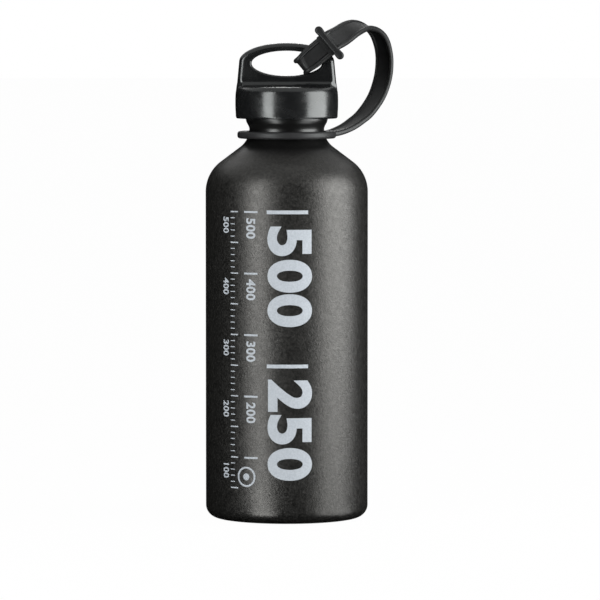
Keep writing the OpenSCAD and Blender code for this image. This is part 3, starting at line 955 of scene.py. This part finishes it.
def make_keeper():
    """Cross bar with a knob at each end, and the sleeve that both layers of the strap come out of."""
    inside = HANDLE_T / 2 + LOOP_GAP
    depth = inside + STRAP_T + 1.4 * MM
    half = KEEPER_L / 2 - KEEPER_T / 2
    knob = KEEPER_T / 2 + 0.1 * MM
    neck = 3.2 * MM
    flank = []
    for i in range(1, 24):
        x = half * (1 - i / 12)
        t = ramp(abs(x), half - neck, neck)
        flank.append((x, knob - 0.28 * MM * (1 - t * t * (3 - 2 * t))))
    outline = (arc((half, 0), knob, 90, -90, 12) + [(x, -z) for x, z in flank]
               + arc((-half, 0), knob, -90, -270, 12) + flank[::-1])
    points = [KEEPER_AT + LOOP_ACROSS * x + LOOP_DIR * z + Vector((0, -depth, 0)) for x, z in outline]
    bar_piece = pushed("keeper_bar", points, (0, 2 * depth, 0))
    softened(bar_piece, lambda f: abs(f.normal.y) > 0.9, 0.9 * MM, 5)
    sleeves = []
    wide = STRAP_W / 2 + 0.3 * MM
    for side in (-1, 1):
        near, far = side * inside, side * (inside + STRAP_T + 0.2 * MM)
        corners = [(-wide, near), (wide, near), (wide, far), (-wide, far)]
        sleeve = pushed("sleeve", [KEEPER_AT + LOOP_ACROSS * x + Vector((0, y, 0)) for x, y in corners],
                        LOOP_DIR * SLEEVE_L)
        softened(sleeve, lambda f: f.normal.y * side > 0.9 or f.normal.dot(LOOP_DIR) > 0.9, 0.6 * MM)
        sleeves.append(sleeve)
    return joined("keeper", [bar_piece] + sleeves)


def neck_hollow(z):
    """Radius of the bottle's hollow neck at a height below its waist."""
    return NECK_R + NECK_ROUND - math.sqrt(NECK_ROUND ** 2 - (WAIST_Z - z) ** 2)


def collar_outline():
    """Half section of the ring, which follows the hollow of the neck a little way off."""
    top = COLLAR_Z + COLLAR_H
    rim_r = COLLAR_R - COLLAR_EDGE
    top_r = neck_hollow(top) + COLLAR_GAP
    low_r = neck_hollow(COLLAR_Z) + COLLAR_GAP
    return (
        [(low_r + 0.3 * MM, COLLAR_Z)]
        + arc((rim_r, COLLAR_Z + COLLAR_EDGE), COLLAR_EDGE, -90, 0, 8)
        + arc((rim_r, top - COLLAR_EDGE), COLLAR_EDGE, 0, 90, 8)
        + [(top_r + 0.5 * MM, top), (top_r, top - 0.5 * MM), (low_r, COLLAR_Z + 0.3 * MM),
           (low_r + 0.3 * MM, COLLAR_Z)]
    )


def make_tether():
    collar = turned("collar", collar_outline())
    stations = strap_stations()
    band = swept("band", stations, [strap_section(STRAP_W / 2, STRAP_T / 2)] * len(stations))
    tether = joined("tether", [band, collar, make_loop(), make_keeper()])
    coat(tether, TETHER_RUBBER)
    smooth(tether, 40)
    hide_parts("tether_ring", "tether_band", "tether_loop")
    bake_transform(tether)


# Stage: pale floor, softboxes left and right, dark cards round the set

# Radius and height of the dark set round the bottle, and of the hole for its foot in the floor card
SET_R = 1.5
WALL_H = 1.4
FLOOR_HOLE_R = 31.6 * MM


def glow_for_view(name, colour, share):
    """Pale paint that the camera, reflections and glass see as white."""
    f = Finish(name, colour, 0.9, **{"Specular IOR Level": 0.0})
    path = f.node("ShaderNodeLightPath")
    seen = f.math("MAXIMUM", path.outputs["Is Camera Ray"], path.outputs["Is Glossy Ray"])
    seen = f.math("MAXIMUM", seen, path.outputs["Is Transmission Ray"])
    glow = f.node("ShaderNodeEmission")
    f.set(glow, Color=(1, 1, 1, 1), Strength=1.0)
    mix = f.node("ShaderNodeMixShader")
    f.link(f.math("MULTIPLY", seen, share), mix, "Fac")
    f.tree.links.new(f.shader.outputs[0], mix.inputs[1])
    f.tree.links.new(glow.outputs[0], mix.inputs[2])
    output = f.tree.nodes["Material Output"]
    f.tree.links.new(mix.outputs[0], output.inputs["Surface"])
    return f.material


def make_floor():
    """The pale floor, which keeps the bottle's shadow."""
    deselect()
    bpy.ops.mesh.primitive_plane_add(size=30)
    floor = name_piece(bpy.context.object, "floor")
    coat(floor, glow_for_view("floor_paint", (0.86, 0.86, 0.86), 0.985))


def make_card(card, name, glow=0.0):
    """Makes the object a card that only reflections see, black or glowing evenly."""
    name_piece(card, name)
    finish = Finish(name, (0.004, 0.004, 0.004), 1.0,
                    **{"Specular IOR Level": 0.0, "Emission Strength": glow,
                       "Emission Color": (1, 1, 1, 1)})
    coat(card, finish.material)
    card.visible_camera = False
    card.visible_diffuse = False
    card.visible_shadow = False
    card.visible_transmission = False


def disc(radius, place):
    deselect()
    bpy.ops.mesh.primitive_circle_add(vertices=96, radius=radius, fill_type="NGON", location=place)
    bpy.ops.object.transform_apply(location=True)
    return bpy.context.object


def make_wall():
    """A dark wall round the set, high in front and lower behind."""
    deselect()
    bpy.ops.mesh.primitive_cylinder_add(vertices=64, radius=SET_R, depth=WALL_H,
                                        end_fill_type="NOTHING", location=(0, 0, WALL_H / 2))
    bpy.ops.object.mode_set(mode="EDIT")
    bpy.ops.mesh.select_all(action="SELECT")
    bpy.ops.mesh.bisect(plane_co=(0, -SET_R, WALL_H), plane_no=(0, 0.12 * WALL_H, 1),
                        clear_outer=True)
    bpy.ops.object.mode_set(mode="OBJECT")
    make_card(bpy.context.object, "dark_wall")


def make_dark_floor():
    """A dark card on the floor, with a hole that the bottle stands in."""
    card = disc(SET_R, (0, 0, 0.3 * MM))
    bpy.ops.object.mode_set(mode="EDIT")
    bpy.ops.mesh.select_all(action="SELECT")
    bpy.ops.mesh.inset(thickness=SET_R - FLOOR_HOLE_R)
    bpy.ops.mesh.delete(type="FACE")
    bpy.ops.object.mode_set(mode="OBJECT")
    make_card(card, "dark_floor")


def make_back_glow():
    """A small bright card behind, that draws the line along the cap's rim."""
    deselect()
    bpy.ops.mesh.primitive_plane_add(size=0.4, location=(0, 1.4, 0.7),
                                     rotation=(math.radians(90), 0, 0))
    bpy.context.object.scale = (0.45, 1, 1)
    bpy.ops.object.transform_apply(location=True, rotation=True, scale=True)
    make_card(bpy.context.object, "back_glow", 5)


def make_bounce(name, near, far, half, glow):
    """A bright wedge on the floor, from one azimuth near the bottle to another far from it."""
    near_r, far_r = 0.04, 0.5
    corners = [(near_r, near - half), (far_r, far - half), (far_r, far + half), (near_r, near + half)]
    turns = [(r, math.radians(a)) for r, a in corners]
    card = drawn(name, [(math.sin(a) * r, -math.cos(a) * r, 0.6 * MM) for r, a in turns])
    bpy.ops.mesh.edge_face_add()
    bpy.ops.object.mode_set(mode="OBJECT")
    make_card(card, name, glow)


def softbox(name, azimuth, low, high, width, brightness, away=1.0):
    """An upright soft light, at an angle in degrees from the camera's side towards +X."""
    turn = math.radians(azimuth)
    place = Vector((math.sin(turn) * away, -math.cos(turn) * away, (low + high) / 2))
    aim = Vector((0, 0, place.z)) - place
    deselect()
    bpy.ops.object.light_add(type="AREA", location=place)
    box = bpy.context.object
    box.name = name
    box.rotation_euler = aim.to_track_quat("-Z", "Y").to_euler()
    box.data.shape = "RECTANGLE"
    box.data.size = width
    box.data.size_y = high - low
    box.data.energy = brightness * math.pi * width * (high - low)


def make_world():
    """White for the camera, reflections and glass, and a weak even light for all else."""
    world = bpy.data.worlds.new("studio")
    bpy.context.scene.world = world
    world.use_nodes = True
    tree = world.node_tree
    tree.nodes.clear()
    path = tree.nodes.new("ShaderNodeLightPath")
    seen = path.outputs["Is Camera Ray"]
    for ray in ("Is Glossy Ray", "Is Transmission Ray"):
        either = tree.nodes.new("ShaderNodeMath")
        either.operation = "MAXIMUM"
        tree.links.new(seen, either.inputs[0])
        tree.links.new(path.outputs[ray], either.inputs[1])
        seen = either.outputs[0]
    mix = tree.nodes.new("ShaderNodeMixShader")
    tree.links.new(seen, mix.inputs[0])
    for socket, strength in ((1, 0.15), (2, 1.0)):
        light = tree.nodes.new("ShaderNodeBackground")
        light.inputs["Color"].default_value = (1, 1, 1, 1)
        light.inputs["Strength"].default_value = strength
        tree.links.new(light.outputs[0], mix.inputs[socket])
    output = tree.nodes.new("ShaderNodeOutputWorld")
    tree.links.new(mix.outputs[0], output.inputs["Surface"])


# The object
make_bottle()
make_threads()
make_print()
make_cap()
make_spring()
make_tether()
coat(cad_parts["threaded_plug"], PLUG_PLASTIC)
coat(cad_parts["o_ring"], SEAL_RUBBER)

# The set
make_floor()
make_wall()
make_dark_floor()
make_card(disc(SET_R + 0.1, (0, 0, WALL_H)), "grey_ceiling", 0.6)
make_back_glow()
make_bounce("bounce_right", 44, 64, 19, 2.2)
make_bounce("bounce_left", -18, -36, 9, 5.5)
softbox("soft_right", 73, 0.005, 0.48, 0.47, 6.6, 0.5)
softbox("soft_left", -41, 0.005, 0.48, 0.2, 7.2, 0.5)
make_world()
bpy.context.scene.view_settings.view_transform = "Standard"
